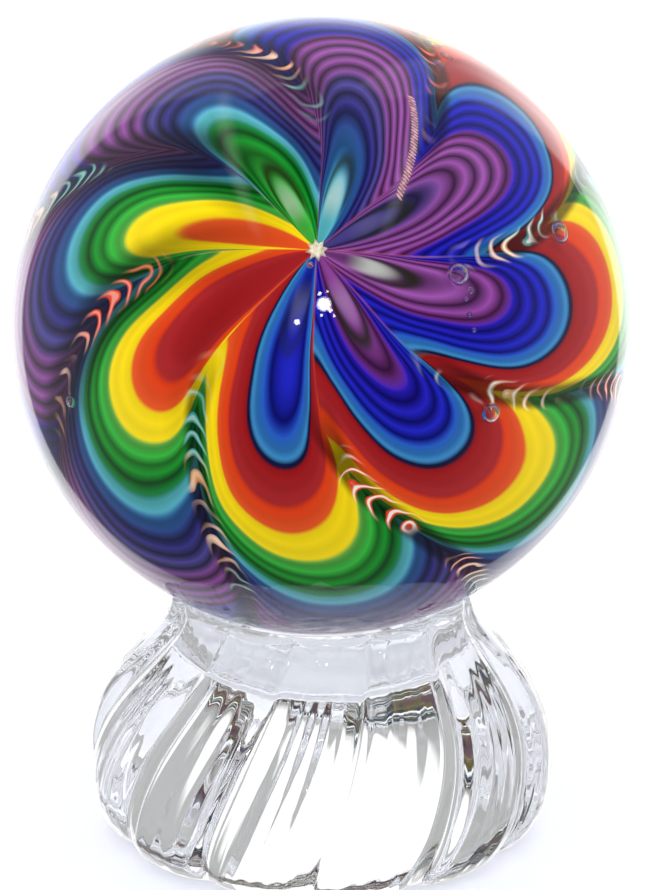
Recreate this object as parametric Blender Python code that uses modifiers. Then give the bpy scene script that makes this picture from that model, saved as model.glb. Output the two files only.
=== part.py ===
"""Glass paperweight: a solid glass ball that rests on a squat, twisted, fluted glass stand.

Metres, +Z up. The origin is the centre of the stand's flat foot, on the
surface that it stands on, and the front of the object looks along -Y.
"""

import math

import bmesh
import bpy

# Ball
BALL_DIAMETER = 0.076
BALL_SEGMENTS = 48
BALL_RINGS = 24

# Stand, outside
STAND_HEIGHT = 0.0317
BELLY_DIAMETER = 0.0592
BELLY_HEIGHT = 0.0084
FOOT_DIAMETER = 0.0486
SHOULDER_FULLNESS = 0.013
NECK_RISE = 0.0054
LIP_WIDTH = 0.0015
LIP_DROP = 0.001

# Stand, the cup in its top
SEAT_DIAMETER = 0.0348
SEAT_WIDTH = 0.0016
SEAT_CLEARANCE = 0.0003
AIR_UNDER_BALL = 0.0075
CUP_CORNER = 0.003

# Flutes round the stand: angles in degrees, seen from above, from the +X axis
FLUTE_COUNT = 12
FLUTE_DEPTH = 0.0016
FLUTE_SOFTNESS = 0.1
FLUTE_FADE = 0.003
FLUTE_START = -9.5
FLUTE_TWIST = -24.0
STEPS_PER_FLUTE = 10

# Two points closer than this are one
WELD = 0.000001


def clear_scene():
    """Remove every object that the file holds."""
    for item in list(bpy.data.objects):
        bpy.data.objects.remove(item, do_unlink=True)


def make_collection(name):
    """Return a new collection linked to the scene."""
    collection = bpy.data.collections.new(name)
    bpy.context.scene.collection.children.link(collection)
    return collection


def glass_material(name, colour, transmission, roughness):
    """Return a glass material with the given colour and clearness."""
    material = bpy.data.materials.new(name)
    material.use_nodes = True
    shader = material.node_tree.nodes["Principled BSDF"]
    shader.inputs["Base Color"].default_value = (*colour, 1.0)
    shader.inputs["Metallic"].default_value = 0.0
    shader.inputs["Roughness"].default_value = roughness
    shader.inputs["IOR"].default_value = 1.5
    shader.inputs["Transmission Weight"].default_value = transmission
    return material


def seat_curve_radius():
    """Radius of the seat's hollow curve, which follows the ball with a clearance."""
    return BALL_DIAMETER / 2 + SEAT_CLEARANCE


def ball_centre_height():
    """Height of the ball's centre when it rests on the seat's outer edge."""
    return STAND_HEIGHT + math.sqrt(seat_curve_radius() ** 2 - (SEAT_DIAMETER / 2) ** 2)


def arc_points(centre, radii, start, end, steps):
    """Points (radius, height) along an elliptic arc, both ends included, angles in degrees."""
    points = []
    for step in range(steps + 1):
        angle = math.radians(start + (end - start) * step / steps)
        points.append((centre[0] + radii[0] * math.cos(angle),
                       centre[1] + radii[1] * math.sin(angle)))
    return points


def bezier_points(corners, steps):
    """Points along a cubic curve given by its four corners, both ends included."""
    points = []
    for step in range(steps + 1):
        t = step / steps
        weights = ((1 - t) ** 3, 3 * t * (1 - t) ** 2, 3 * t ** 2 * (1 - t), t ** 3)
        points.append(tuple(sum(w * corner[axis] for w, corner in zip(weights, corners))
                            for axis in range(2)))
    return points


def cup_profile():
    """The cup from the middle of its floor up to the seat's outer edge."""
    seat_radius = SEAT_DIAMETER / 2
    wall_radius = seat_radius - SEAT_WIDTH
    floor = ball_centre_height() - BALL_DIAMETER / 2 - AIR_UNDER_BALL
    corner = arc_points((wall_radius - CUP_CORNER, floor + CUP_CORNER), (CUP_CORNER, CUP_CORNER), -90, 0, 4)
    seat = []
    for step in range(3):
        radius = wall_radius + SEAT_WIDTH * step / 2
        seat.append((radius, ball_centre_height() - math.sqrt(seat_curve_radius() ** 2 - radius ** 2)))
    return [(0.0, floor)] + corner + seat


def outer_profile():
    """The outside from below the seat's outer edge down to the middle of the foot."""
    seat_radius = SEAT_DIAMETER / 2
    lip_radius = seat_radius + LIP_WIDTH
    lip_height = STAND_HEIGHT - LIP_DROP
    belly_radius = BELLY_DIAMETER / 2
    foot_radius = FOOT_DIAMETER / 2
    lip = arc_points((seat_radius, lip_height), (LIP_WIDTH, LIP_DROP), 90, 0, 3)
    shoulder = bezier_points([(lip_radius, lip_height),
                              (lip_radius, lip_height - NECK_RISE),
                              (belly_radius, BELLY_HEIGHT + SHOULDER_FULLNESS),
                              (belly_radius, BELLY_HEIGHT)], 10)
    belly = arc_points((foot_radius, BELLY_HEIGHT), (belly_radius - foot_radius, BELLY_HEIGHT), 0, -90, 5)
    return lip[1:] + shoulder[1:] + belly[1:] + [(0.0, 0.0)]


def turned_mesh(name, profile, steps):
    """Turn a profile of (radius, height) points about Z and return the closed mesh."""
    line = bpy.data.meshes.new(name + "_profile")
    edges = [(index, index + 1) for index in range(len(profile) - 1)]
    line.from_pydata([(radius, 0.0, height) for radius, height in profile], edges, [])
    turning = bpy.data.objects.new(name + "_profile", line)
    bpy.context.scene.collection.objects.link(turning)
    screw = turning.modifiers.new("Turn", "SCREW")
    screw.axis = "Z"
    screw.angle = math.tau
    screw.steps = steps
    screw.render_steps = steps
    screw.use_merge_vertices = True
    screw.merge_threshold = WELD
    mesh = bpy.data.meshes.new_from_object(turning.evaluated_get(bpy.context.evaluated_depsgraph_get()))
    bpy.data.objects.remove(turning, do_unlink=True)
    shape = bmesh.new()
    shape.from_mesh(mesh)
    bmesh.ops.remove_doubles(shape, verts=shape.verts, dist=WELD)
    shape.to_mesh(mesh)
    shape.free()
    return mesh


def flute_share(angle):
    """How far a point lies in a flute: 0 on a rib's crest, 1 in the groove between two ribs."""
    across = math.sin(FLUTE_COUNT * angle / 2)
    return 1 - math.sqrt((across ** 2 + FLUTE_SOFTNESS ** 2) / (1 + FLUTE_SOFTNESS ** 2))


def flute_fade(height):
    """How deep a flute is at a height: full on the body, running out at the lip."""
    return math.sin(math.pi / 2 * min(1.0, max(0.0, STAND_HEIGHT - height) / FLUTE_FADE))


def cut_flutes(mesh):
    """Twist the outside of a turned stand and sink its flutes between rounded ribs."""
    for vertex in mesh.vertices:
        radius = math.hypot(vertex.co.x, vertex.co.y)
        angle = math.atan2(vertex.co.y, vertex.co.x)
        turn = math.radians(FLUTE_START)
        in_cup = vertex.co.z > 0 and radius < SEAT_DIAMETER / 2 + WELD
        if not in_cup:
            turn += math.radians(FLUTE_TWIST) * (1 - vertex.co.z / STAND_HEIGHT)
            if radius > WELD:
                radius -= FLUTE_DEPTH * flute_fade(vertex.co.z) * flute_share(angle)
        vertex.co.x = radius * math.cos(angle + turn)
        vertex.co.y = radius * math.sin(angle + turn)
    mesh.update()


def add_object(name, mesh, material, collection):
    """Add a smooth-shaded object with one material to a collection."""
    mesh.materials.clear()
    mesh.materials.append(material)
    mesh.shade_smooth()
    item = bpy.data.objects.new(name, mesh)
    collection.objects.link(item)
    return item


def build_stand(collection):
    """The stand: one solid piece of clear glass, fluted outside, with a cup in its top."""
    mesh = turned_mesh("fluted_stand", cup_profile() + outer_profile(), FLUTE_COUNT * STEPS_PER_FLUTE)
    cut_flutes(mesh)
    mesh.set_sharp_from_angle(angle=math.radians(40))
    clear = glass_material("Clear pressed glass", (0.96, 0.98, 0.98), 1.0, 0.02)
    return add_object("fluted_stand", mesh, clear, collection)


def build_ball(collection):
    """The ball: one solid piece of glass, dark with the coloured glass sealed in it."""
    shape = bmesh.new()
    bmesh.ops.create_uvsphere(shape, u_segments=BALL_SEGMENTS, v_segments=BALL_RINGS, radius=BALL_DIAMETER / 2)
    mesh = bpy.data.meshes.new("glass_ball")
    shape.to_mesh(mesh)
    shape.free()
    coloured = glass_material("Cased coloured glass", (0.07, 0.11, 0.35), 0.0, 0.02)
    ball = add_object("glass_ball", mesh, coloured, collection)
    ball.location.z = ball_centre_height()
    return ball


def main():
    """Build the paperweight in its own collection."""
    clear_scene()
    collection = make_collection("glass_paperweight")
    build_stand(collection)
    build_ball(collection)


main()
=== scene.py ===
"""Glass paperweight on its fluted glass stand: the looks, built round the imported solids.

Metres, +Z up, the front of the object towards -Y. The ball is a core of
coloured glass combed into a flower, under a clear casing with sealed air
bubbles. The stand is clear glass, pressed with twisted ribs.
"""

import logging
import math
from collections.abc import Callable
from dataclasses import dataclass
from enum import Enum
from functools import cached_property, partial
from typing import Any

import bmesh
import bpy
from mathutils import Euler, Matrix, Vector, noise


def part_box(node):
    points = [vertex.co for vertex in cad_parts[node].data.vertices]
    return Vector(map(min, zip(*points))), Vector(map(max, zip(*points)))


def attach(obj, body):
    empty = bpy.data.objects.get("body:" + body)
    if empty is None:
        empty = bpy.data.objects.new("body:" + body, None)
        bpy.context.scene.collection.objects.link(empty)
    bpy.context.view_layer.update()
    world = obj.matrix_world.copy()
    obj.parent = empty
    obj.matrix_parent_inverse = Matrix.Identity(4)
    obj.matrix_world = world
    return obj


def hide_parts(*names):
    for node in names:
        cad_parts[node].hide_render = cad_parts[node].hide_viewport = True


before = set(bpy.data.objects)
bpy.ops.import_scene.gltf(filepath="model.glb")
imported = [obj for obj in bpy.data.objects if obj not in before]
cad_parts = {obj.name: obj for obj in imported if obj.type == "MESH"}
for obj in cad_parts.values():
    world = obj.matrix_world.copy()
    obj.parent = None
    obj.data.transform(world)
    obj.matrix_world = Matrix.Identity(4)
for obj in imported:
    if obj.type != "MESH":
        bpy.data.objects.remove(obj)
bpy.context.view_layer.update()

LOG = logging.getLogger("paperweight")

MM = 0.001
TINY = 0.001 * MM
BODY = "root"

MATH = "ShaderNodeMath"
MAP_RANGE = "ShaderNodeMapRange"
VECTOR_MATH = "ShaderNodeVectorMath"
MIX = "ShaderNodeMix"
MIX_A = 6
MIX_B = 7
MIX_RESULT = 2
NOISE = "ShaderNodeTexNoise"
COLOUR_RAMP = "ShaderNodeValToRGB"
COORDINATES = "ShaderNodeTexCoord"
SEPARATE = "ShaderNodeSeparateXYZ"
SMOOTH = {"interpolation_type": "SMOOTHSTEP"}

Tree = bpy.types.NodeTree
Node = bpy.types.Node
Add = Callable[..., Node]


def linear(code: str) -> tuple[float, float, float, float]:
    """Turn an sRGB hex colour into the linear values that Blender takes.

    Args:
        code: The colour as "#rrggbb".

    Returns:
        Linear red, green, blue and an alpha of 1.
    """
    values = []
    for start in (1, 3, 5):
        part = int(code[start:start + 2], 16) / 255
        values.append(part / 12.92 if part <= 0.04045 else ((part + 0.055) / 1.055) ** 2.4)
    return (*values, 1.0)


def add_node(tree: Tree, kind: str, inputs: dict[Any, Any] | None = None, **settings: Any) -> Node:
    """Add a node with its settings, values and links.

    Args:
        tree: The node tree that it goes in.
        kind: The node's Blender type.
        inputs: A value, a node (its first output) or an output socket for each input, by name or number.
        settings: The node's own properties.

    Returns:
        The new node.
    """
    node = tree.nodes.new(kind)
    for name, value in settings.items():
        setattr(node, name, value)
    for key, value in (inputs or {}).items():
        socket = node.inputs[key]
        if isinstance(value, Node):
            tree.links.new(value.outputs[0], socket)
        elif isinstance(value, bpy.types.NodeSocket):
            tree.links.new(value, socket)
        else:
            socket.default_value = value
    return node


def new_material(name: str) -> tuple[bpy.types.Material, Node]:
    """Start a node material.

    Args:
        name: The material's name.

    Returns:
        The material and its Principled shader.
    """
    material = bpy.data.materials.new(name)
    material.use_nodes = True
    return material, material.node_tree.nodes["Principled BSDF"]


def finish_piece(mesh: bmesh.types.BMesh, name: str, material: bpy.types.Material) -> bpy.types.Object:
    """Make a smooth object of a finished mesh, dress it and let it ride on the body.

    Args:
        mesh: The piece's mesh, in its place. It is freed.
        name: The piece's name.
        material: Its material.

    Returns:
        The new object, at the origin.
    """
    data = bpy.data.meshes.new(name)
    mesh.to_mesh(data)
    mesh.free()
    data.materials.append(material)
    data.shade_smooth()
    piece = bpy.data.objects.new(name, data)
    bpy.context.scene.collection.objects.link(piece)
    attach(piece, BODY)
    LOG.info("%s: %d faces", name, len(data.polygons))
    return piece


@dataclass(frozen=True)
class ClearGlass:
    """Clear soda-lime glass, fire-polished: sharp reflections and refraction, a faint cool tint."""

    name: str = "Clear fire-polished soda-lime glass"
    tint: str = "#fdfefe"
    ior: float = 1.5
    ripple: float = 5 * MM
    ripple_height: float = 0.03 * MM
    ripple_drawn: tuple[float, float, float] = (1.0, 1.0, 0.3)

    def material(self) -> bpy.types.Material:
        """Return the material: plain glass values, with the slow ripple of a fire-polished surface.

        Returns:
            The new material. Without a ripple height it has no ripple.
        """
        material, shader = new_material(self.name)
        tree = material.node_tree
        add = partial(add_node, tree)
        shader.inputs["Base Color"].default_value = linear(self.tint)
        shader.inputs["Roughness"].default_value = 0.0
        shader.inputs["IOR"].default_value = self.ior
        shader.inputs["Transmission Weight"].default_value = 1.0
        if self.ripple_height > 0:
            place = add(COORDINATES)
            drawn = add(VECTOR_MATH, {0: place.outputs["Object"], 1: self.ripple_drawn},
                        operation="MULTIPLY")
            waves = add(NOISE, {"Vector": drawn, "Scale": 1 / self.ripple, "Detail": 1.0})
            bump = add("ShaderNodeBump", {"Height": waves, "Distance": self.ripple_height, "Strength": 1.0})
            tree.links.new(bump.outputs["Normal"], shader.inputs["Normal"])
        return material


@dataclass(frozen=True)
class SealedAir:
    """Air sealed in glass: the bubble's wall bends light the other way, so it shines at its edge."""

    name: str = "Air bubble in glass"
    ior: float = 1 / 1.5

    def material(self) -> bpy.types.Material:
        """Return the material."""
        material, shader = new_material(self.name)
        tree = material.node_tree
        add = partial(add_node, tree)
        glass = add("ShaderNodeBsdfGlass", {"Color": (1.0, 1.0, 1.0, 1.0), "Roughness": 0.0,
                                            "IOR": self.ior})
        tree.nodes.remove(shader)
        tree.links.new(glass.outputs["BSDF"], tree.nodes["Material Output"].inputs["Surface"])
        return material


@dataclass(frozen=True)
class CreamGlass:
    """Opaque cream glass: a small gather pressed on at the flower's middle, slightly mottled."""

    name: str = "Opaque cream glass, pressed"
    light: str = "#f4ecd6"
    shade: str = "#c4b690"
    mottle: float = 0.5 * MM
    mottle_from: float = 0.4
    mottle_to: float = 0.7
    roughness: float = 0.5

    def material(self) -> bpy.types.Material:
        """Return the material."""
        material, shader = new_material(self.name)
        tree = material.node_tree
        add = partial(add_node, tree)
        place = add(COORDINATES)
        cloud = add(NOISE, {"Vector": place.outputs["Object"], "Scale": 1 / self.mottle})
        share = add(MAP_RANGE, {0: cloud, 1: self.mottle_from, 2: self.mottle_to, 3: 0.0, 4: 1.0})
        colour = add(MIX, {0: share, MIX_A: linear(self.light), MIX_B: linear(self.shade)}, data_type="RGBA")
        tree.links.new(colour.outputs[MIX_RESULT], shader.inputs["Base Color"])
        shader.inputs["Roughness"].default_value = self.roughness
        shader.inputs["Specular IOR Level"].default_value = 0.0
        return material


@dataclass(frozen=True)
class TrailColour:
    """One colour of the trail: where it lies in the cycle, in degrees, and how dark its edges are."""

    place: float
    code: str
    edge: float


class Trail(Enum):
    """The trail's colours through one cycle, as the opaque glass looks before its casing deepens them."""

    RUBY = TrailColour(0.0, "#931517", 0.12)
    RUBY_END = TrailColour(8.0, "#a4282c", 0.12)
    ORANGE = TrailColour(9.3, "#d73b13", 0.1)
    ORANGE_END = TrailColour(15.0, "#dd5425", 0.1)
    YELLOW = TrailColour(16.0, "#f6d811", 0.12)
    YELLOW_END = TrailColour(22.6, "#f6da18", 0.12)
    LIME = TrailColour(23.6, "#62b048", 0.3)
    LEAF = TrailColour(26.0, "#38b840", 0.6)
    EMERALD = TrailColour(31.0, "#128f28", 0.9)
    EMERALD_END = TrailColour(35.0, "#0e7a34", 0.9)
    TURQUOISE = TrailColour(36.5, "#50b1b4", 0.3)
    TURQUOISE_END = TrailColour(38.6, "#58aebf", 0.3)
    AZURE = TrailColour(40.0, "#306ea8", 0.5)
    STEEL_BLUE = TrailColour(43.0, "#284686", 0.7)
    INDIGO = TrailColour(46.0, "#2c2a7c", 0.92)
    VIOLET = TrailColour(53.0, "#544a96", 0.94)
    PURPLE = TrailColour(56.0, "#8a4894", 0.97)
    ORCHID = TrailColour(64.0, "#9c54a6", 0.97)
    ORCHID_END = TrailColour(70.0, "#8a3c94", 0.97)
    COBALT = TrailColour(72.0, "#251cb1", 0.88)
    COBALT_END = TrailColour(82.0, "#1e28c1", 0.85)
    SKY = TrailColour(84.8, "#2c6cbc", 0.45)
    SKY_END = TrailColour(87.4, "#3f8fc8", 0.3)
    INK = TrailColour(88.6, "#0f1337", 0.0)
    INK_END = TrailColour(89.5, "#0f1337", 0.0)
    RUBY_AGAIN = TrailColour(90.0, "#931517", 0.12)


@dataclass(frozen=True)
class PetalEye:
    """A petal's eye: the shift of its first colour in degrees of the cycle, its paleness, its dark ring."""

    shift: float
    paleness: float
    ring: float


@dataclass(frozen=True)
class Spot:
    """Where a point lies on the core, as nodes, with its angles in degrees.

    It lies theta out from the flower's middle, phi round it, and across its petal from 0 to 1.
    """

    way: Node
    theta: Node
    phi: Node
    across: Node
    count: Node


@dataclass(frozen=True)
class CombedFlower:
    """Opaque coloured glass, trailed on in a rainbow spiral and combed into petals, sealed under clear glass.

    Angles are in degrees, measured on the core from the flower's middle. Going out from the middle, the
    trail's colours follow each other, and each petal starts an eighth of the cycle after its neighbour.
    Pairs of numbers say where something begins to change and where it has changed.
    """

    name: str = "Combed opaque glass trails under clear glass"
    roughness: float = 0.6
    # The petals
    petals: int = 8
    lean: float = 33.0
    lean_range: tuple[float, float] = (15.0, 85.0)
    first_valley: float = -2.0
    pull: float = 28.0
    pole_softness: float = 30.0
    tip_inner: float = 0.68
    tip_outer: float = 0.36
    tip_range: tuple[float, float] = (25.0, 60.0)
    fullness: float = 0.85
    # The trail. A whole number of its turns in the cycle closes the pattern round the ball.
    cycle: float = 90.0
    start: float = 8.0
    uneven: float = 5.5
    uneven_towards: float = 65.0
    gathered_to: float = 40.0
    trail_turns: int = 22
    edge_fall: float = 0.9
    edge_dark: float = 0.08
    unrest: float = 0.05
    unrest_size: float = 16 * MM
    unrest_range: tuple[float, float] = (0.85, 1.0)
    # The petals' eyes
    eyes: tuple[PetalEye, ...] = (
        PetalEye(1.6, 0.0, 0.0), PetalEye(1.4, 0.1, 0.5), PetalEye(-1.9, 0.15, 0.9),
        PetalEye(3.4, 0.7, 0.9), PetalEye(4.6, 0.05, 0.8), PetalEye(0.9, 0.45, 0.8),
        PetalEye(0.1, 0.45, 0.9), PetalEye(-0.4, 0.0, 0.0),
    )
    eye_reach: float = 10.0
    eye_range: tuple[float, float] = (5.0, 11.0)
    eye_edge: tuple[float, float] = (-1.3, -0.3)
    eye_pale: str = "#c8d0c0"
    ring_place: float = 1.7
    ring_width: float = 0.9
    ring_colour: str = "#20240f"
    # The chains of arches in the valleys, their white pith partly glass and partly a painted highlight,
    # whitest at the right, and painted shade beside the valleys at the left
    arch_step: float = 4.0
    arch_bend: float = 0.36
    arch_line: tuple[float, float] = (1.08, 1.44)
    arch_pith_highlight: tuple[float, float] = (1.52, 1.8)
    pith_highlight_share: float = 0.9
    pith_highlight_least: float = 0.3
    pith_highlight_range: tuple[float, float] = (0.0, 0.4)
    pith_highlight_towards: tuple[float, float, float] = (0.87, -0.5, 0.0)
    pith_highlight_colour: str = "#f6eee2"
    arch_places: tuple[float, ...] = (0.36, 0.45, 0.52, 0.6)
    arch_colours: tuple[str, ...] = ("#2c9088", "#d89048", "#e8c0a0", "#d8401c")
    hue_scale: float = 1.6
    sway: float = 14.0
    sway_scale: float = 3.0
    rag: float = 7.0
    rag_scale: float = 9.0
    chain_some: tuple[float, float] = (0.42, 0.56)
    chain_edge: tuple[float, float] = (1.3, 3.4)
    chain_range: tuple[float, float] = (24.0, 40.0)
    chain_dark: float = 0.2
    painted_shade_edge: tuple[float, float] = (3.0, 9.0)
    painted_shade_range: tuple[float, float] = (0.05, 0.5)
    painted_shade_dark: float = 0.25
    painted_shade_towards: tuple[float, float, float] = (-0.85, 0.5, 0.0)
    # The fine lines between the petals near the middle, clearest at the lower right
    seam_edge: tuple[float, float] = (0.05, 0.3)
    seam_range: tuple[float, float] = (12.0, 30.0)
    seam_share: float = 0.8
    seam_broken: tuple[float, float] = (0.4, 0.55)
    seam_least: float = 0.3
    seam_hues: tuple[float, float] = (0.4, 0.6)
    seam_colours: tuple[str, ...] = ("#d86a48", "#f0d0c4")
    seam_towards: tuple[float, float, float] = (0.5, -0.87, 0.0)
    seam_side: tuple[float, float] = (-0.05, 0.1)
    seam_far: float = 0.35
    # The pattern's far end, where the trails run into dark glass
    end_range: tuple[float, float] = (104.0, 120.0)
    end_share: float = 0.7
    end_colour: str = "#1c1640"

    def material(self, centre: Vector, turn: Euler, radius: float) -> bpy.types.Material:
        """Return the material of the core.

        Args:
            centre: The core's centre.
            turn: The rotation that takes +Z to the flower's middle.
            radius: The core's radius.

        Returns:
            The new material.
        """
        material, shader = new_material(self.name)
        tree = material.node_tree
        add = partial(add_node, tree)
        place = add(COORDINATES)
        ball = add("ShaderNodeMapping", {"Vector": place.outputs["Object"], "Location": centre,
                                         "Rotation": turn, "Scale": (radius,) * 3}, vector_type="TEXTURE")
        spot = self._spot(add, self._hand_made(add, ball, radius))
        wound = self._pulled_trails(add, spot)
        shift, paleness, ringing = self._petal_eyes(add, spot.count)
        turned = self._coiled_trails(add, spot, wound, shift)
        trails = self._trails(add, turned)
        eyed = self._eyes(add, spot.theta, wound, paleness, ringing, trails)
        seamed = self._seams(add, spot, eyed)
        end = add(MAP_RANGE, {0: spot.theta, 1: self.end_range[0], 2: self.end_range[1], 3: 0.0,
                              4: self.end_share}, **SMOOTH)
        ended = add(MIX, {0: end, MIX_A: seamed, MIX_B: linear(self.end_colour)}, data_type="RGBA")
        shader.inputs["Roughness"].default_value = self.roughness
        shader.inputs["Specular IOR Level"].default_value = 0.0
        tree.links.new(ended.outputs[MIX_RESULT], shader.inputs["Base Color"])
        return material

    def _hand_made(self, add: Add, ball: Node, radius: float) -> Node:
        """Move the pattern a little here and there, as handwork does, but not at its middle.

        Args:
            add: Adds a node to the material.
            ball: The point, measured from the core's centre.
            radius: The core's radius.

        Returns:
            The point's direction from the centre, moved.
        """
        way = add(VECTOR_MATH, {0: ball}, operation="NORMALIZE")
        height = add(SEPARATE, {0: way}).outputs["Z"]
        amount = add(MAP_RANGE, {0: height, 1: self.unrest_range[0], 2: self.unrest_range[1], 3: self.unrest,
                                 4: 0.0})
        cloud = add(NOISE, {"Vector": way, "Scale": radius / self.unrest_size, "Detail": 1.0})
        swing = add(VECTOR_MATH, {0: cloud.outputs["Color"], 1: (0.5,) * 3}, operation="SUBTRACT")
        shift = add(VECTOR_MATH, {0: swing, "Scale": amount}, operation="SCALE")
        moved = add(VECTOR_MATH, {0: way, 1: shift}, operation="ADD")
        return add(VECTOR_MATH, {0: moved}, operation="NORMALIZE")

    def _spot(self, add: Add, way: Node) -> Spot:
        """Find where a point lies in the flower, whose turn is divided into leaning petals.

        Args:
            add: Adds a node to the material.
            way: The point's direction from the core's centre.

        Returns:
            The point's place.
        """
        xyz = add(SEPARATE, {0: way})
        out = add(MATH, {0: xyz.outputs["Z"]}, operation="ARCCOSINE")
        theta = add(MATH, {0: out}, operation="DEGREES")
        around = add(MATH, {0: xyz.outputs["Y"], 1: xyz.outputs["X"]}, operation="ARCTAN2")
        phi = add(MATH, {0: around}, operation="DEGREES")
        lean = add(MAP_RANGE, {0: theta, 1: self.lean_range[0], 2: self.lean_range[1], 3: self.first_valley,
                               4: self.first_valley + self.lean}, **SMOOTH)
        upright = add(MATH, {0: phi, 1: lean}, operation="SUBTRACT")
        petal = add(MATH, {0: upright, 1: 360 / self.petals}, operation="DIVIDE")
        across = add(MATH, {0: petal}, operation="FRACT")
        count = add(MATH, {0: petal}, operation="FLOOR")
        return Spot(way, theta, phi, across, count)

    def _pulled_trails(self, add: Add, spot: Spot) -> Node:
        """Find how far out a point's trail lay before it was pulled into petals.

        The pull is strongest at the tip line, which leans from one side of the petal to the other.

        Args:
            add: Adds a node to the material.
            spot: The point's place.

        Returns:
            The angle from the flower's middle, in degrees.
        """
        tip = add(MAP_RANGE, {0: spot.theta, 1: self.tip_range[0], 2: self.tip_range[1], 3: self.tip_inner,
                              4: self.tip_outer}, **SMOOTH)
        left = add(MATH, {0: spot.across, 1: tip}, operation="DIVIDE")
        rest = add(MATH, {0: 1.0, 1: spot.across}, operation="SUBTRACT")
        tip_rest = add(MATH, {0: 1.0, 1: tip}, operation="SUBTRACT")
        right = add(MATH, {0: rest, 1: tip_rest}, operation="DIVIDE")
        slope = add(MATH, {0: tip, 1: tip_rest}, operation="DIVIDE")
        power = add(MATH, {0: slope, 1: self.fullness}, operation="MULTIPLY")
        rise = add(MATH, {0: left, 1: power}, operation="POWER")
        fall = add(MATH, {0: right, 1: self.fullness}, operation="POWER")
        bow = add(MATH, {0: rise, 1: fall}, operation="MULTIPLY")
        pulled = add(MATH, {0: bow, 1: -self.pull, 2: spot.theta}, operation="MULTIPLY_ADD")
        return add(MATH, {0: pulled, 1: 0.0, 2: self.pole_softness}, operation="SMOOTH_MAX")

    def _petal_eyes(self, add: Add, count: Node) -> tuple[Node, Any, Any]:
        """Find what is each petal's own.

        Args:
            add: Adds a node to the material.
            count: The petal's number.

        Returns:
            Its first colour's shift in degrees, its eye's paleness and its eye's ring.
        """
        number = add(MATH, {0: count, 1: self.petals / 2 + 0.5}, operation="ADD")
        turns = add(MATH, {0: number, 1: self.petals}, operation="DIVIDE")
        share = add(MATH, {0: turns}, operation="FRACT")
        values = add(COLOUR_RAMP, {0: share})
        values.color_ramp.interpolation = "CONSTANT"
        stops = values.color_ramp.elements
        while len(stops) < self.petals:
            stops.new(1.0)
        for index, (stop, eye) in enumerate(zip(stops, self.eyes)):
            stop.position = index / self.petals
            stop.color = (0.5 + eye.shift / self.eye_reach / 2, eye.paleness, eye.ring, 1.0)
        parts = add("ShaderNodeSeparateColor", {0: values})
        shift = add(MAP_RANGE, {0: parts.outputs[0], 1: 0.0, 2: 1.0, 3: -self.eye_reach, 4: self.eye_reach})
        return shift, parts.outputs[1], parts.outputs[2]

    def _coiled_trails(self, add: Add, spot: Spot, wound: Node, shift: Node) -> Node:
        """Find how far along the colour cycle a point lies.

        Far out, the trail is one spiral, wound a little off the middle. Near the middle each petal is
        gathered, so that it starts with one colour of its own.

        Args:
            add: Adds a node to the material.
            spot: The point's place.
            wound: How far out its trail lay before it was pulled.
            shift: The shift of its petal's first colour.

        Returns:
            The place in the cycle, in degrees, not yet brought back to one cycle.
        """
        step = self.cycle / self.petals
        coiled = add(MAP_RANGE, {0: spot.theta, 1: 0.0, 2: self.gathered_to, 3: 0.0, 4: 1.0}, **SMOOTH)
        aside = add(MATH, {0: spot.across, 1: 0.5}, operation="SUBTRACT")
        spiral = add(MATH, {0: aside, 1: coiled, 2: spot.count}, operation="MULTIPLY_ADD")
        trail = add(MATH, {0: spiral, 1: -step, 2: wound}, operation="MULTIPLY_ADD")
        away = add(MATH, {0: spot.phi, 1: self.uneven_towards}, operation="SUBTRACT")
        radians = add(MATH, {0: away}, operation="RADIANS")
        swing = add(MATH, {0: radians}, operation="COSINE")
        eccentric = add(MATH, {0: swing, 1: self.uneven}, operation="MULTIPLY")
        offset = add(MIX, {0: coiled, 2: shift, 3: eccentric}, data_type="FLOAT")
        start = self.start - step * (self.petals / 2 + 0.5)
        placed = add(MATH, {0: trail, 1: offset}, operation="ADD")
        return add(MATH, {0: placed, 1: start}, operation="ADD")

    def _trails(self, add: Add, turned: Node) -> Any:
        """Colour the trail, darker between two of its turns.

        Args:
            add: Adds a node to the material.
            turned: How far along the colour cycle a point lies.

        Returns:
            The colour.
        """
        share = add(MATH, {0: turned, 1: self.cycle}, operation="DIVIDE")
        cycle = add(MATH, {0: share}, operation="FRACT")
        ramp = add(COLOUR_RAMP, {0: cycle})
        stops = ramp.color_ramp.elements
        while len(stops) < len(Trail):
            stops.new(1.0)
        for stop, colour in zip(stops, Trail):
            stop.position = colour.value.place / self.cycle
            stop.color = (*linear(colour.value.code)[:3], colour.value.edge)
        half = self.cycle / self.trail_turns / 2
        saw = add(MATH, {0: turned, 1: half}, operation="PINGPONG")
        edge = add(MAP_RANGE, {0: saw, 1: 0.0, 2: half, 3: 1.0, 4: 0.0})
        sharp = add(MATH, {0: edge, 1: self.edge_fall}, operation="POWER")
        dark = add(MATH, {0: sharp, 1: ramp.outputs["Alpha"]}, operation="MULTIPLY")
        shade = add(VECTOR_MATH, {0: ramp.outputs["Color"], "Scale": self.edge_dark}, operation="SCALE")
        return add(MIX, {0: dark, MIX_A: ramp.outputs["Color"], MIX_B: shade},
                   data_type="RGBA").outputs[MIX_RESULT]

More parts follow.
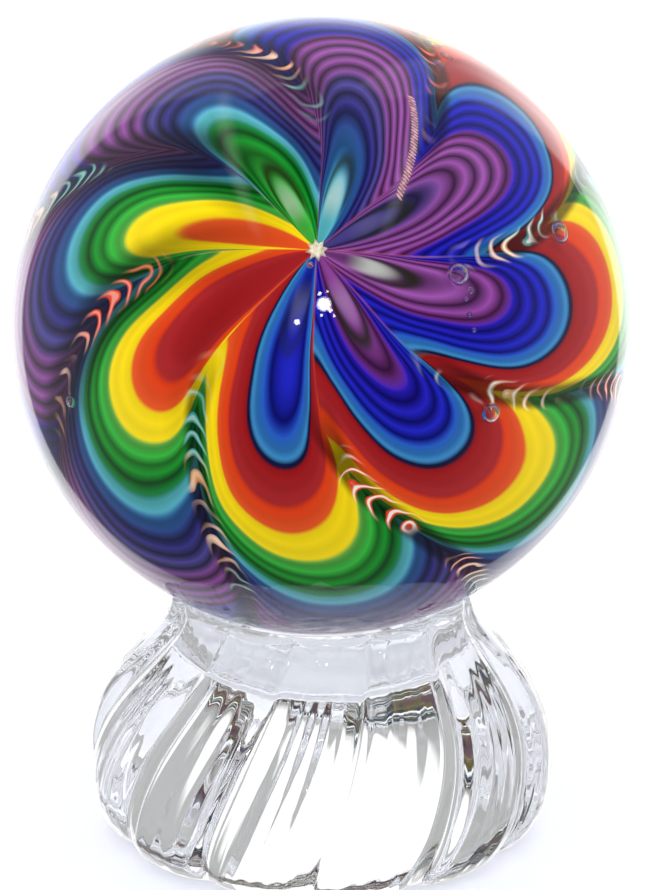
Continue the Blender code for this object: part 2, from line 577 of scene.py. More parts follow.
    def _eyes(self, add: Add, theta: Node, wound: Node, paleness: Any, ringing: Any, colour: Any) -> Any:
        """Draw each petal's eye: paler glass with a thin dark ring round it.

        Args:
            add: Adds a node to the material.
            theta: The point's angle from the flower's middle.
            wound: How far out its trail lay before it was pulled.
            paleness: How pale its petal's eye is.
            ringing: How dark the ring is.
            colour: The trail's colour.

        Returns:
            The colour with the eyes.
        """
        off = add(MATH, {0: wound, 1: self.ring_place}, operation="SUBTRACT")
        near = add(MATH, {0: off}, operation="ABSOLUTE")
        ring = add(MAP_RANGE, {0: near, 1: 0.0, 2: self.ring_width, 3: 1.0, 4: 0.0}, **SMOOTH)
        inside = add(MAP_RANGE, {0: off, 1: self.eye_edge[0], 2: self.eye_edge[1], 3: 1.0, 4: 0.0}, **SMOOTH)
        clear = add(MAP_RANGE, {0: theta, 1: self.eye_range[0], 2: self.eye_range[1], 3: 0.0, 4: 1.0},
                    **SMOOTH)
        pale_here = add(MATH, {0: inside, 1: paleness}, operation="MULTIPLY")
        pale_share = add(MATH, {0: pale_here, 1: clear}, operation="MULTIPLY")
        ring_here = add(MATH, {0: ring, 1: ringing}, operation="MULTIPLY")
        ring_share = add(MATH, {0: ring_here, 1: clear}, operation="MULTIPLY")
        pale = add(MIX, {0: pale_share, MIX_A: colour, MIX_B: linear(self.eye_pale)}, data_type="RGBA")
        ringed = add(MIX, {0: ring_share, MIX_A: pale.outputs[MIX_RESULT], MIX_B: linear(self.ring_colour)},
                     data_type="RGBA")
        return ringed.outputs[MIX_RESULT]

    def _seams(self, add: Add, spot: Spot, colour: Any) -> Any:
        """Draw what the comb leaves between two petals: fine lines near the middle, arches farther out, and
        painted shade beside the valleys at the upper left.

        Args:
            add: Adds a node to the material.
            spot: The point's place.
            colour: The petals' colour.

        Returns:
            The colour with the seams.
        """
        near = add(MATH, {0: spot.across}, operation="ROUND")
        off = add(MATH, {0: spot.across, 1: near}, operation="SUBTRACT")
        out = add(MATH, {0: spot.theta}, operation="RADIANS")
        spread = add(MATH, {0: out}, operation="SINE")
        wide = add(MATH, {0: off, 1: 360 / self.petals}, operation="MULTIPLY")
        beside = add(MATH, {0: wide, 1: spread}, operation="MULTIPLY")
        aside = add(MATH, {0: beside}, operation="ABSOLUTE")
        hue = add(NOISE, {"Vector": spot.way, "Scale": self.hue_scale, "Detail": 0.0})
        chain = self._chain(add, spot, beside, hue, colour)
        # Painted shade: beside the valleys on the upper left side the petals' colour is darkened, most near
        # the valley lines.
        left = add(VECTOR_MATH, {0: spot.way, 1: self.painted_shade_towards}, operation="DOT_PRODUCT")
        shaded_side = add(MAP_RANGE, {0: left.outputs["Value"], 1: self.painted_shade_range[0], 2: self.painted_shade_range[1],
                                3: 1.0, 4: self.painted_shade_dark})
        wider = add(MAP_RANGE, {0: aside, 1: self.painted_shade_edge[0], 2: self.painted_shade_edge[1], 3: 1.0, 4: 0.0},
                    **SMOOTH)
        painted_shade = add(MIX, {0: wider, 2: 1.0, 3: shaded_side}, data_type="FLOAT")
        shaded_colour = add(VECTOR_MATH, {0: colour, "Scale": painted_shade}, operation="SCALE")
        within = add(MAP_RANGE, {0: aside, 1: self.chain_edge[0], 2: self.chain_edge[1], 3: 1.0, 4: 0.0},
                     **SMOOTH)
        outer = add(MAP_RANGE, {0: spot.theta, 1: self.chain_range[0], 2: self.chain_range[1], 3: 0.0,
                                4: 1.0}, **SMOOTH)
        share = add(MATH, {0: within, 1: outer}, operation="MULTIPLY")
        chained = add(MIX, {0: share, MIX_A: shaded_colour, MIX_B: chain}, data_type="RGBA")
        return self._fine_lines(add, spot, aside, hue, chained.outputs[MIX_RESULT])

    def _chain(self, add: Add, spot: Spot, beside: Node, hue: Node, colour: Any) -> Any:
        """Draw the chain that fills a valley: the petals' colour darkened, warm arches, and in some of them a
        white pith that is partly glass and partly a painted highlight.

        Args:
            add: Adds a node to the material.
            spot: The point's place.
            beside: How far it lies from the valley's line, in degrees.
            hue: The noise that picks the arches' colour.
            colour: The petals' colour.

        Returns:
            The chain's colour.
        """
        cloud = add(NOISE, {"Vector": spot.way, "Scale": self.sway_scale, "Detail": 2.0})
        rag = add(NOISE, {"Vector": spot.way, "Scale": self.rag_scale, "Detail": 1.0})
        square = add(MATH, {0: beside, 1: beside}, operation="MULTIPLY")
        arch = add(MATH, {0: square, 1: -self.arch_bend, 2: spot.theta}, operation="MULTIPLY_ADD")
        uneven = add(MATH, {0: cloud, 1: self.sway, 2: arch}, operation="MULTIPLY_ADD")
        ragged = add(MATH, {0: rag, 1: self.rag, 2: uneven}, operation="MULTIPLY_ADD")
        beat = add(MATH, {0: ragged, 1: self.arch_step / 2}, operation="PINGPONG")
        line = add(MAP_RANGE, {0: beat, 1: self.arch_line[0], 2: self.arch_line[1], 3: 0.0, 4: 1.0},
                   **SMOOTH)
        pith_highlight = add(MAP_RANGE, {0: beat, 1: self.arch_pith_highlight[0], 2: self.arch_pith_highlight[1], 3: 0.0,
                               4: self.pith_highlight_share}, **SMOOTH)
        some = add(MAP_RANGE, {0: cloud, 1: self.chain_some[0], 2: self.chain_some[1], 3: 0.0, 4: 1.0},
                   **SMOOTH)
        lit = add(MATH, {0: line, 1: some}, operation="MULTIPLY")
        warm = add(COLOUR_RAMP, {0: hue})
        stops = warm.color_ramp.elements
        while len(stops) < len(self.arch_colours):
            stops.new(1.0)
        for stop, place, code in zip(stops, self.arch_places, self.arch_colours):
            stop.position = place
            stop.color = linear(code)
        # Painted highlight: the white pith, partly glass, is whitest towards the right and dimmer at the
        # left.
        right = add(VECTOR_MATH, {0: spot.way, 1: self.pith_highlight_towards}, operation="DOT_PRODUCT")
        pith_highlight_side = add(MAP_RANGE, {0: right.outputs["Value"], 1: self.pith_highlight_range[0], 2: self.pith_highlight_range[1],
                                3: self.pith_highlight_least, 4: 1.0})
        white = add(MATH, {0: pith_highlight, 1: pith_highlight_side}, operation="MULTIPLY")
        pith_highlighted = add(MIX, {0: white, MIX_A: warm.outputs["Color"], MIX_B: linear(self.pith_highlight_colour)},
                    data_type="RGBA")
        dim = add(VECTOR_MATH, {0: colour, "Scale": self.chain_dark}, operation="SCALE")
        return add(MIX, {0: lit, MIX_A: dim, MIX_B: pith_highlighted.outputs[MIX_RESULT]},
                   data_type="RGBA").outputs[MIX_RESULT]

    def _fine_lines(self, add: Add, spot: Spot, aside: Node, hue: Node, colour: Any) -> Any:
        """Draw the fine broken line between two petals near the middle.

        Args:
            add: Adds a node to the material.
            spot: The point's place.
            aside: How far it lies from the valley's line, in degrees.
            hue: The noise that picks the line's colour.
            colour: The colour so far.

        Returns:
            The colour with the lines.
        """
        thin = add(MAP_RANGE, {0: aside, 1: self.seam_edge[0], 2: self.seam_edge[1], 3: 1.0, 4: 0.0},
                   **SMOOTH)
        inner = add(MAP_RANGE, {0: spot.theta, 1: self.seam_range[0], 2: self.seam_range[1],
                                3: self.seam_share, 4: 0.0}, **SMOOTH)
        broken = add(MAP_RANGE, {0: hue, 1: self.seam_broken[0], 2: self.seam_broken[1], 3: self.seam_least,
                                 4: 1.0})
        below = add(VECTOR_MATH, {0: spot.way, 1: self.seam_towards}, operation="DOT_PRODUCT")
        lower = add(MAP_RANGE, {0: below.outputs["Value"], 1: self.seam_side[0], 2: self.seam_side[1],
                                3: self.seam_far, 4: 1.0})
        faded = add(MATH, {0: broken, 1: lower}, operation="MULTIPLY")
        drawn_here = add(MATH, {0: inner, 1: faded}, operation="MULTIPLY")
        seam = add(MATH, {0: thin, 1: drawn_here}, operation="MULTIPLY")
        tone = add(MAP_RANGE, {0: hue, 1: self.seam_hues[0], 2: self.seam_hues[1], 3: 0.0, 4: 1.0})
        thread = add(MIX, {0: tone, MIX_A: linear(self.seam_colours[0]),
                           MIX_B: linear(self.seam_colours[1])}, data_type="RGBA")
        drawn = add(MIX, {0: seam, MIX_A: colour, MIX_B: thread.outputs[MIX_RESULT]}, data_type="RGBA")
        return drawn.outputs[MIX_RESULT]


@dataclass(frozen=True)
class Bubble:
    """A sealed bubble: its angle from the flower's middle, its angle round it, and its radius."""

    out: float
    round: float
    radius: float


@dataclass
class Ball:
    """The ball: a clear casing, the combed core in it, and what is sealed between them."""

    radius: float = 38 * MM
    core_radius: float = 35 * MM
    segments: int = 192
    rings: int = 96
    middle_height: float = 32.6
    middle_aside: float = -0.8
    star_points: int = 8
    star_radius: float = 1.35 * MM
    star_hollow: float = 0.6
    star_thickness: float = 0.3 * MM
    star_top: float = 0.7
    star_turn: float = 10.0
    star_sunk: float = 0.03 * MM
    beads: int = 34
    bead_from: Bubble = Bubble(19.0, 36.0, 0.17 * MM)
    bead_to: Bubble = Bubble(40.0, 62.5, 0.17 * MM)
    bead_bend: float = 0.8
    bead_shape: tuple[float, float, float, float] = (0.9, 3.2, 0.6, 1.0)
    bubble_skin: float = 0.15 * MM
    bubbles: tuple[Bubble, ...] = (
        Bubble(51.3, 11.2, 1.4 * MM), Bubble(45.4, -39.9, 1.2 * MM), Bubble(26.5, -7.2, 1.4 * MM),
        Bubble(29.0, -12.5, 0.45 * MM), Bubble(28.5, -16.3, 0.3 * MM), Bubble(30.2, -20.8, 0.35 * MM),
        Bubble(32.2, -24.8, 0.3 * MM), Bubble(60.0, -154.3, 0.8 * MM), Bubble(62.7, 66.3, 1.2 * MM),
        Bubble(59.0, 62.0, 0.9 * MM), Bubble(53.4, 62.0, 0.7 * MM), Bubble(66.7, 68.3, 0.7 * MM),
        Bubble(3.6, -108.0, 0.4 * MM),
    )

    @cached_property
    def centre(self) -> Vector:
        """The ball's centre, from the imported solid."""
        low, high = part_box("glass_ball")
        return (Vector(low) + Vector(high)) / 2

    @property
    def turn(self) -> Euler:
        """The rotation that takes +Z to the flower's middle, which faces forwards and up."""
        return Euler((math.radians(90 - self.middle_height), 0.0, math.radians(self.middle_aside)))

    def build(self) -> None:
        """Build the casing, the core and what is sealed between them."""
        clear = ClearGlass(name="Clear casing glass", ripple_height=0.0).material()
        casing = finish_piece(self._sphere(self.radius), "ball_casing", clear)
        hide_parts("glass_ball")
        core_finish = CombedFlower().material(self.centre, self.turn, self.core_radius)
        finish_piece(self._sphere(self.core_radius), "combed_core", core_finish)
        self._star()
        self._beads()
        self._bubbles()

    def _sphere(self, radius: float) -> bmesh.types.BMesh:
        """Return a sphere about the ball's centre.

        Args:
            radius: The sphere's radius.

        Returns:
            The new mesh.
        """
        mesh = bmesh.new()
        bmesh.ops.create_uvsphere(mesh, u_segments=self.segments, v_segments=self.rings, radius=radius)
        bmesh.ops.translate(mesh, verts=mesh.verts, vec=self.centre)
        return mesh

    def _place(self, out: float, around: float, radius: float) -> Matrix:
        """Return the place of something on the core, with its +Z pointing outwards.

        Args:
            out: Its angle from the flower's middle, in degrees.
            around: Its angle round the middle, in degrees, anticlockwise from the right.
            radius: Its distance from the ball's centre.

        Returns:
            The place, as a matrix.
        """
        turned = self.turn.to_matrix().to_4x4() @ Matrix.Rotation(math.radians(around), 4, "Z")
        tilted = turned @ Matrix.Rotation(math.radians(out), 4, "Y")
        return Matrix.Translation(self.centre) @ tilted @ Matrix.Translation((0, 0, radius))

    def _star(self) -> None:
        """Press the small star on at the flower's middle, with its rays slightly domed."""
        mesh = bmesh.new()
        corners = 2 * self.star_points
        bmesh.ops.create_circle(mesh, cap_ends=True, segments=corners, radius=self.star_radius)
        for index, vertex in enumerate(mesh.verts):
            if index % 2:
                vertex.co *= self.star_hollow
        top = bmesh.ops.extrude_face_region(mesh, geom=mesh.faces[:])["geom"]
        raised = [item for item in top if isinstance(item, bmesh.types.BMVert)]
        bmesh.ops.translate(mesh, verts=raised, vec=(0, 0, self.star_thickness))
        bmesh.ops.scale(mesh, verts=raised, vec=(self.star_top, self.star_top, 1.0))
        bmesh.ops.recalc_face_normals(mesh, faces=mesh.faces)
        place = self._place(0.0, self.star_turn, self.core_radius - self.star_sunk)
        bmesh.ops.transform(mesh, matrix=place, verts=mesh.verts)
        finish_piece(mesh, "middle_star", CreamGlass().material())

    def _beads(self) -> None:
        """Lay the thin twisted pink thread in the valley at the upper right, where it shows as beads."""
        mesh = bmesh.new()
        start = self.bead_from
        end = self.bead_to
        for index in range(self.beads):
            share = index / (self.beads - 1)
            out = start.out + (end.out - start.out) * share
            around = start.round + (end.round - start.round) * share ** self.bead_bend
            matrix = self._place(out, around, self.core_radius) @ Matrix.Diagonal(self.bead_shape)
            bmesh.ops.create_uvsphere(mesh, u_segments=12, v_segments=8, radius=start.radius, matrix=matrix)
        pink = CreamGlass(name="Opaque pink glass thread, twisted", light="#d8a8a4", shade="#8c5058")
        finish_piece(mesh, "twisted_thread", pink.material())

    def _bubbles(self) -> None:
        """Seal the air bubbles between the core and the casing."""
        mesh = bmesh.new()
        for bubble in self.bubbles:
            matrix = self._place(bubble.out, bubble.round, self.radius - self.bubble_skin - bubble.radius)
            bmesh.ops.create_uvsphere(mesh, u_segments=32, v_segments=16, radius=bubble.radius, matrix=matrix)
        finish_piece(mesh, "air_bubbles", SealedAir().material())


@dataclass
class Stand:
    """The stand: a turned body of clear glass with twisted ribs, and a cup whose lip holds the ball.

    It is shaped hot by hand, so its outside is slightly uneven and finely drawn along the ribs.
    """

    belly_radius: float = 29.6 * MM
    belly_height: float = 8.4 * MM
    foot_radius: float = 24.3 * MM
    shoulder_fullness: float = 13 * MM
    neck_rise: float = 5.4 * MM
    lip_width: float = 1.5 * MM
    lip_drop: float = 1.0 * MM
    seat_radius: float = 17.4 * MM
    seat_width: float = 1.6 * MM
    seat_clearance: float = 0.3 * MM
    air_under_ball: float = 7.5 * MM
    cup_corner: float = 3.0 * MM
    wall_steps: int = 8
    seat_steps: int = 6
    foot_rings: tuple[float, float] = (0.9, 0.5)
    flutes: int = 12
    flute_depth: float = 1.6 * MM
    flute_softness: float = 0.1
    flute_fullness: float = 1.8
    flute_fade: float = 1.6 * MM
    flute_start: float = -9.5
    flute_twist: float = -24.0
    steps_per_flute: int = 32
    neck_depth: float = 1.4
    uneven: float = 0.22 * MM
    uneven_size: float = 9 * MM
    uneven_drawn: float = 5.0
    draw_lines: int = 72
    draw_depth: float = 0.05 * MM
    draw_sway: float = 2.0
    draw_sways: int = 5

    @cached_property
    def height(self) -> float:
        """The stand's height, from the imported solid."""
        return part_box("fluted_stand")[1][2]

    def build(self, ball: Ball) -> None:
        """Build the stand under a ball.

        Args:
            ball: The ball that it carries.
        """
        mesh = bmesh.new()
        profile = self._cup(ball) + self._outside()
        corners = [mesh.verts.new((radius, 0.0, height)) for radius, height in profile]
        lines = [mesh.edges.new(pair) for pair in zip(corners, corners[1:])]
        bmesh.ops.spin(mesh, geom=corners + lines, axis=(0, 0, 1), cent=(0, 0, 0), angle=math.tau,
                       steps=self.flutes * self.steps_per_flute, use_merge=True)
        bmesh.ops.remove_doubles(mesh, verts=mesh.verts, dist=TINY)
        bmesh.ops.recalc_face_normals(mesh, faces=mesh.faces)
        self._cut_flutes(mesh)
        stand = finish_piece(mesh, "stand_glass", ClearGlass().material())
        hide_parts("fluted_stand")

    def _cup(self, ball: Ball) -> list[tuple[float, float]]:
        """Return the cup's profile, from the middle of its floor to the seat's outer edge.

        Args:
            ball: The ball that it carries.

        Returns:
            Its points, as radius and height.
        """
        wall = self.seat_radius - self.seat_width
        floor = ball.centre.z - ball.radius - self.air_under_ball
        points = [(0.0, floor), ((wall - self.cup_corner) / 2, floor)]
        corner = (wall - self.cup_corner, floor + self.cup_corner)
        points += arc(corner, (self.cup_corner, self.cup_corner), -90, 0, 12)
        seat = ball.radius + self.seat_clearance
        rise = points[-1][1]
        edge = ball.centre.z - math.sqrt(seat ** 2 - wall ** 2)
        for step in range(1, self.wall_steps):
            points.append((wall, rise + (edge - rise) * step / self.wall_steps))
        for step in range(self.seat_steps + 1):
            radius = wall + self.seat_width * step / self.seat_steps
            points.append((radius, ball.centre.z - math.sqrt(seat ** 2 - radius ** 2)))
        return points

    def _outside(self) -> list[tuple[float, float]]:
        """Return the outside's profile, from below the seat's outer edge to the middle of the foot.

        Returns:
            Its points, as radius and height.
        """
        lip_radius = self.seat_radius + self.lip_width
        lip_height = self.height - self.lip_drop
        points = arc((self.seat_radius, lip_height), (self.lip_width, self.lip_drop), 90, 0, 10)
        points += curve(((lip_radius, lip_height), (lip_radius, lip_height - self.neck_rise),
                         (self.belly_radius, self.belly_height + self.shoulder_fullness),
                         (self.belly_radius, self.belly_height)), 40)[1:]
        points += arc((self.foot_radius, self.belly_height),
                      (self.belly_radius - self.foot_radius, self.belly_height), 0, -90, 24)[1:]
        points += [(self.foot_radius * share, 0.0) for share in self.foot_rings]
        return points[1:] + [(0.0, 0.0)]

    def _unevenness(self, angle: float, height: float) -> float:
        """Return how far the hot, hand-shaped outside lies under its true form.

        Args:
            angle: The point's angle round the stand, in radians.
            height: Its height.

        Returns:
            The distance: slow bumps, drawn out upwards, and fine lines along the ribs.
        """
        along = height / self.uneven_drawn
        spot = Vector((self.belly_radius * math.cos(angle), self.belly_radius * math.sin(angle), along))
        slow = 0.5 + 0.5 * noise.noise(spot / self.uneven_size)
        sway = self.draw_sway * math.sin(self.draw_sways * angle)
        drawn = 0.5 + 0.5 * math.sin(self.draw_lines * angle + sway)
        return self.uneven * slow + self.draw_depth * drawn

    def _cut_flutes(self, mesh: bmesh.types.BMesh) -> None:
        """Twist the outside and sink the flutes between the ribs. The cup stays round.

        Args:
            mesh: The turned stand.
        """
        for vertex in mesh.verts:
            radius = math.hypot(vertex.co.x, vertex.co.y)
            angle = math.atan2(vertex.co.y, vertex.co.x)
            turn = math.radians(self.flute_start)
            in_cup = vertex.co.z > 10 * TINY and radius < self.seat_radius + TINY
            if not in_cup:
                turn += math.radians(self.flute_twist) * (1 - vertex.co.z / self.height)
                fade = math.sin(math.pi / 2 * min(1.0, max(0.0, self.height - vertex.co.z) / self.flute_fade))
                fade *= min(1.0, radius / self.foot_radius)
                wave = math.sin(self.flutes * angle / 2) ** 2
                soft = self.flute_softness ** 2
                deep = 1 + (self.neck_depth - 1) * max(0.0, vertex.co.z / self.height - 0.5) * 2
                groove = (1 - math.sqrt((wave + soft) / (1 + soft))) ** self.flute_fullness
                radius -= self.flute_depth * deep * fade * groove
                radius -= self._unevenness(angle, vertex.co.z) * fade
            vertex.co.x = radius * math.cos(angle + turn)
            vertex.co.y = radius * math.sin(angle + turn)


def arc(centre: tuple[float, float], radii: tuple[float, float], start: float, end: float,
        steps: int) -> list[tuple[float, float]]:
    """Return points on an elliptic arc, both ends included.

    Args:
        centre: The arc's centre.
        radii: Its level and its upright radius.
        start: The angle at which it starts, in degrees.
        end: The angle at which it ends, in degrees.
        steps: How many steps it has.

    Returns:
        The points.
    """
    angles = [math.radians(start + (end - start) * step / steps) for step in range(steps + 1)]
    return [(centre[0] + radii[0] * math.cos(angle), centre[1] + radii[1] * math.sin(angle))
            for angle in angles]


def curve(corners: tuple[tuple[float, float], ...], steps: int) -> list[tuple[float, float]]:
    """Return points on a cubic curve, both ends included.

    Args:
        corners: The curve's four control points.
        steps: How many steps it has.

    Returns:
        The points.
    """
    points = []
    for step in range(steps + 1):
        t = step / steps
        weights = ((1 - t) ** 3, 3 * t * (1 - t) ** 2, 3 * t ** 2 * (1 - t), t ** 3)
        points.append(tuple(sum(weight * corner[axis] for weight, corner in zip(weights, corners))
                            for axis in range(2)))
    return points


@dataclass(frozen=True)
class Lamp:
    """A small round lamp: azimuth from the front towards the right, height, radius, soft share, light."""

    azimuth: float
    height: float
    radius: float
    softness: float
    light: float


@dataclass(frozen=True)
class Sheet:
    """An upright sheet of light behind: azimuths from and to on either side, top, softness, light."""

    inner: float
    outer: float
    top: float
    softness: float
    light: float
    side_softness: float = 2.0


@dataclass
class Studio:
    """The plain pale table, the soft studio light and the camera at the photograph's angle."""

    camera_tilt: float = 20.0
    camera_distance: float = 0.6
    image_width: int = 647
    image_height: int = 890
    ball_pixel: tuple[float, float] = (320.7, 325.4)
    ball_pixel_radius: float = 310.0
    table_front: float = 0.3
    table_back: float = 2.0
    table_side: float = 1.2
    table_gap: float = 0.05 * MM
    table_colour: str = "#b2b4bc"
    table_roughness: float = 0.7
    glow_colour: str = "#f4f6ff"
    table_glow: float = 0.2
    foot_glow: float = 0.42
    foot_from: float = 20 * MM
    foot_to: float = 34 * MM
    room_light: float = 0.4
    front_light: float = 0.03
    room_range: tuple[float, float] = (-0.35, 0.7)
    under_light: float = 0.4
    under_range: tuple[float, float] = (-0.8, -0.4)
    sheets: tuple[Sheet, ...] = (Sheet(-5.0, 36.0, 12.0, 12.0, 1.2), Sheet(18.0, 36.0, 60.0, 2.0, 0.4))
    through_sheet: Sheet = Sheet(-5.0, 22.0, 60.0, 8.0, 0.75)
    through_light: float = 0.5
    through_front: float = 0.35
    through_range: tuple[float, float] = (-0.3, 0.8)
    fill_light: float = 3.1
    fill_front: float = 2.4
    fill_range: tuple[float, float] = (-0.1, 1.0)
    tube_aside: float = 0.5
    tube_width: float = 0.08
    tube_light: float = 1.2
    tube_range: tuple[float, float] = (0.7, 0.85)
    lamps: tuple[Lamp, ...] = (
        Lamp(1.4, 26.2, 3.0, 1.0, 40.0), Lamp(-0.4, 30.0, 0.9, 0.8, 26.0), Lamp(3.8, 24.0, 1.0, 0.8, 24.0),
        Lamp(0.4, 22.4, 0.7, 0.8, 22.0), Lamp(5.2, 22.0, 0.7, 0.8, 20.0), Lamp(2.8, 30.8, 0.6, 0.8, 20.0),
        Lamp(-9.0, 19.6, 1.3, 0.8, 30.0),
    )

    def build(self, ball: Ball) -> None:
        """Build the table, the world and the camera.

        Args:
            ball: The ball that the camera looks at.
        """
        self._table()
        self._world()
        self._camera(ball)

    def _table(self) -> None:
        """Lay a white table whose front edge ends short of the camera."""
        mesh = bmesh.new()
        bmesh.ops.create_grid(mesh, x_segments=1, y_segments=1, size=0.5)
        length = self.table_front + self.table_back
        bmesh.ops.scale(mesh, vec=(2 * self.table_side, length, 1), verts=mesh.verts)
        bmesh.ops.translate(mesh, vec=(0, self.table_back - length / 2, -self.table_gap), verts=mesh.verts)
        data = bpy.data.meshes.new("table")
        mesh.to_mesh(data)
        mesh.free()
        data.materials.append(self._table_finish())
        table = bpy.data.objects.new("table", data)
        bpy.context.scene.collection.objects.link(table)
        table.visible_glossy = False

    def _table_finish(self) -> bpy.types.Material:
        """Return the table's white, which glows a little all over and more under the foot: a painted pool of
        light there brightens the table seen through the stand and takes away its shadow.

        Returns:
            The new material.
        """
        material, shader = new_material("White diffusing table top")
        tree = material.node_tree
        add = partial(add_node, tree)
        place = add(COORDINATES)
        away = add(VECTOR_MATH, {0: place.outputs["Object"]}, operation="LENGTH")
        # Painted light: a pool of glow under the foot, which brightens what the stand shows of the table and
        # takes away the stand's shadow on it.
        glow = add(MAP_RANGE, {0: away.outputs["Value"], 1: self.foot_from, 2: self.foot_to,
                               3: self.foot_glow, 4: self.table_glow}, **SMOOTH)
        shader.inputs["Base Color"].default_value = linear(self.table_colour)
        shader.inputs["Roughness"].default_value = self.table_roughness
        shader.inputs["Emission Color"].default_value = linear(self.glow_colour)
        tree.links.new(glow.outputs[0], shader.inputs["Emission Strength"])
        return material

    def _world(self) -> None:
        """Light the scene softly from all sides: a bright backdrop, a dim front, and a few small lamps.

        What the glass mirrors is kept apart from what lights matt surfaces, as flags do in a studio.
        """
        world = bpy.data.worlds.new("Studio")
        bpy.context.scene.world = world
        world.use_nodes = True
        tree = world.node_tree
        add = partial(add_node, tree)
        tree.nodes.clear()
        place = add(COORDINATES)
        way = add(VECTOR_MATH, {0: place.outputs["Generated"]}, operation="NORMALIZE")
        tilt = math.radians(self.camera_tilt)
        towards = (0.0, -math.cos(tilt), math.sin(tilt))
        facing = add(VECTOR_MATH, {0: way, 1: towards}, operation="DOT_PRODUCT").outputs["Value"]
        room = add(MAP_RANGE, {0: facing, 1: self.room_range[0], 2: self.room_range[1], 3: self.room_light,
                               4: self.front_light}, **SMOOTH)
        mirrored = add(MATH, {0: room, 1: self._tubes(add, way)}, operation="ADD")
        for sheet in self.sheets:
            mirrored = add(MATH, {0: mirrored, 1: self._sheet(add, way, sheet)}, operation="ADD")
        for lamp in self.lamps:
            mirrored = add(MATH, {0: mirrored, 1: self._lamp(add, way, lamp)}, operation="ADD")
        rise = add(SEPARATE, {0: way}).outputs["Z"]
        under = add(MAP_RANGE, {0: rise, 1: self.under_range[0], 2: self.under_range[1], 3: self.under_light,
                                4: 1.0})
        mirrored = add(MATH, {0: mirrored, 1: under}, operation="MULTIPLY")
        dim = add(MAP_RANGE, {0: facing, 1: self.through_range[0], 2: self.through_range[1],
                              3: self.through_light, 4: self.through_front}, **SMOOTH)
        behind = self._sheet(add, way, self.through_sheet)
        through = add(MATH, {0: dim, 1: behind}, operation="ADD")
        fill = add(MAP_RANGE, {0: facing, 1: self.fill_range[0], 2: self.fill_range[1], 3: self.fill_light,
                               4: self.fill_front}, **SMOOTH)
        path = add("ShaderNodeLightPath")
        crossed = add(MATH, {0: path.outputs["Transmission Depth"], 1: 1.5}, operation="GREATER_THAN")
        clear = add(MIX, {0: crossed, 2: mirrored, 3: through}, data_type="FLOAT")
        matt = add(MATH, {0: path.outputs["Diffuse Depth"], 1: 0.5}, operation="GREATER_THAN")
        light = add(MIX, {0: matt, 2: clear, 3: fill}, data_type="FLOAT")
        seen = path.outputs["Is Camera Ray"]
        strength = add(MIX, {0: seen, 2: light, 3: 1.0}, data_type="FLOAT")
        white = (1.0, 1.0, 1.0, 1.0)
        background = add("ShaderNodeBackground", {"Color": white, "Strength": strength})
        add("ShaderNodeOutputWorld", {"Surface": background})

    def _sheet(self, add: Add, way: Node, sheet: Sheet) -> Node:
        """Return the light of an upright sheet that stands behind the object.

        Args:
            add: Adds a node to the world.
            way: The direction of view.
            sheet: The sheet.

        Returns:
            Its light in that direction.
        """
        xyz = add(SEPARATE, {0: way})
        turned = add(MATH, {0: xyz.outputs["X"], 1: xyz.outputs["Y"]}, operation="ARCTAN2")
        either = add(MATH, {0: turned}, operation="ABSOLUTE")
        azimuth = add(MATH, {0: either}, operation="DEGREES")
        raised = add(MATH, {0: xyz.outputs["Z"]}, operation="ARCSINE")
        height = add(MATH, {0: raised}, operation="DEGREES")
        side = sheet.side_softness
        inside = add(MAP_RANGE, {0: azimuth, 1: sheet.inner - side, 2: sheet.inner + side, 3: 0.0,
                                 4: sheet.light}, **SMOOTH)
        outside = add(MAP_RANGE, {0: azimuth, 1: sheet.outer - side, 2: sheet.outer + side, 3: 1.0, 4: 0.0},
                      **SMOOTH)
        below = add(MAP_RANGE, {0: height, 1: sheet.top - sheet.softness, 2: sheet.top + sheet.softness,
                                3: 1.0, 4: 0.0}, **SMOOTH)
        wide = add(MATH, {0: inside, 1: outside}, operation="MULTIPLY")
        return add(MATH, {0: wide, 1: below}, operation="MULTIPLY")

    def _tubes(self, add: Add, way: Node) -> Node:
        """Return the light of the two long tubes overhead, which run from front to back.

        Args:
            add: Adds a node to the world.
            way: The direction of view.

        Returns:
            Their light in that direction.
        """
        xyz = add(SEPARATE, {0: way})
        either = add(MATH, {0: xyz.outputs["X"]}, operation="ABSOLUTE")
        aside = add(MATH, {0: either, 1: xyz.outputs["Z"]}, operation="DIVIDE")
        past = add(MATH, {0: aside, 1: self.tube_aside}, operation="SUBTRACT")
        off = add(MATH, {0: past}, operation="ABSOLUTE")
        wide = add(MAP_RANGE, {0: off, 1: 0.0, 2: self.tube_width, 3: self.tube_light, 4: 0.0}, **SMOOTH)
        above = add(MAP_RANGE, {0: xyz.outputs["Z"], 1: self.tube_range[0], 2: self.tube_range[1], 3: 0.0,
                                4: 1.0}, **SMOOTH)
        return add(MATH, {0: wide, 1: above}, operation="MULTIPLY")

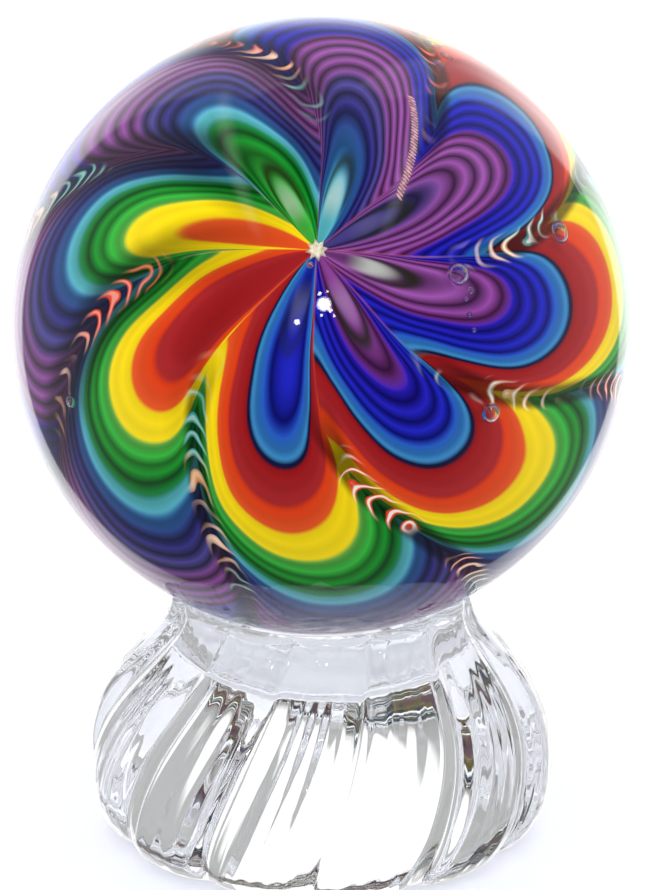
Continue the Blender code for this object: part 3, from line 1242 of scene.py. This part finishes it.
    def _lamp(self, add: Add, way: Node, lamp: Lamp) -> Node:
        """Return the light of a small round lamp.

        Args:
            add: Adds a node to the world.
            way: The direction of view.
            lamp: The lamp.

        Returns:
            Its light in that direction.
        """
        azimuth = math.radians(lamp.azimuth)
        height = math.radians(lamp.height)
        level = math.cos(height)
        direction = (math.sin(azimuth) * level, -math.cos(azimuth) * level, math.sin(height))
        near = add(VECTOR_MATH, {0: way, 1: direction}, operation="DOT_PRODUCT")
        edge = math.cos(math.radians(lamp.radius))
        core = math.cos(math.radians(lamp.radius * (1 - lamp.softness)))
        shine = {0: near.outputs["Value"], 1: edge, 2: core, 3: 0.0, 4: lamp.light}
        return add(MAP_RANGE, shine, **SMOOTH)

    def _camera(self, ball: Ball) -> None:
        """Place the camera so that the ball's centre falls where the photograph has it.

        Args:
            ball: The ball that it looks at.
        """
        tilt = math.radians(self.camera_tilt)
        forward = Vector((0, math.cos(tilt), -math.sin(tilt)))
        up = Vector((0, math.sin(tilt), math.cos(tilt)))
        distance = self.camera_distance
        focal = self.ball_pixel_radius * math.sqrt(distance ** 2 - ball.radius ** 2) / ball.radius
        aside = (self.image_width / 2 - self.ball_pixel[0]) * distance / focal
        above = (self.image_height / 2 - self.ball_pixel[1]) * distance / focal
        camera = bpy.data.cameras.new("camera")
        camera.sensor_width = 36.0
        camera.lens = focal * camera.sensor_width / self.image_height
        camera.clip_start = 0.01
        holder = bpy.data.objects.new("camera", camera)
        holder.location = ball.centre - forward * distance + Vector((1, 0, 0)) * aside - up * above
        holder.rotation_euler = (math.pi / 2 - tilt, 0, 0)
        bpy.context.scene.collection.objects.link(holder)
        bpy.context.scene.camera = holder


def let_light_through(scene: bpy.types.Scene) -> None:
    """Let light bounce inside the glass until it leaves it, or the glass would show black patches.

    Args:
        scene: The scene to render.
    """
    scene.cycles.max_bounces = 40
    scene.cycles.glossy_bounces = 32
    scene.cycles.transmission_bounces = 32


def main() -> None:
    """Build the ball, the stand and the studio, and log each piece's count of faces."""
    logging.basicConfig(level=logging.INFO, format="%(name)s: %(message)s")
    ball = Ball()
    ball.build()
    Stand().build(ball)
    Studio().build(ball)
    bpy.context.scene.view_settings.view_transform = "Standard"
    let_light_through(bpy.context.scene)
    bpy.context.view_layer.update()


if __name__ == "__main__":
    main()
